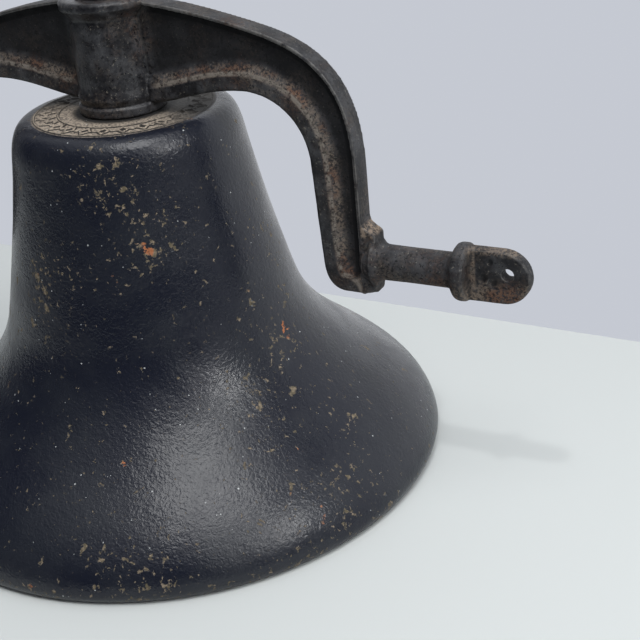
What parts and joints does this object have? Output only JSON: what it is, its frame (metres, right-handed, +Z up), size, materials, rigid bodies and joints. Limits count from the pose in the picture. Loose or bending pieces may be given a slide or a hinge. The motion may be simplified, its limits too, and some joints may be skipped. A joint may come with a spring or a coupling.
{
  "type": "yard dinner bell",
  "caption": "Cast iron yard bell with a flared mouth, an arched yoke with round journals and flat end tabs, and a clapper that swings on a clevis pin.",
  "frame": {"origin": "on the bell's axis, on the plane of its mouth, where it stands on its lip", "axes": "+Z up along the bell's axis, X along the two journals of the yoke, Y across them; the clapper swings in the YZ plane"},
  "size_m": [0.616, 0.432, 0.3876],
  "materials": {
    "shell_paint": "glossy blue-black paint over cast iron, fine cast grain, tan and orange rust specks",
    "yoke_iron": "worn matte black paint over rough cast iron, brown rust in the recesses",
    "clapper_iron": "bare cast iron with an even brown rust, worn bright where it strikes",
    "hardware": "plain steel fasteners, dull and rusted"
  },
  "bodies": {
    "bell": {"bell_shell": "shell_paint", "yoke": "yoke_iron", "centre_bolt": "hardware", "inner_washer": "hardware", "top_washer": "hardware", "top_nut": "hardware", "clapper_pin": "hardware", "clapper_pin_nut": "hardware", "clapper_pin_cotter": "hardware"},
    "clapper": {"clapper": "clapper_iron"}
  },
  "joints": [
    {"name": "clapper_swing", "type": "hinge", "parent": "bell", "child": "clapper", "pos_m": [0, 0, 0.238], "axis": [1, 0, 0], "range_deg": [-32, 32]}
  ]
}
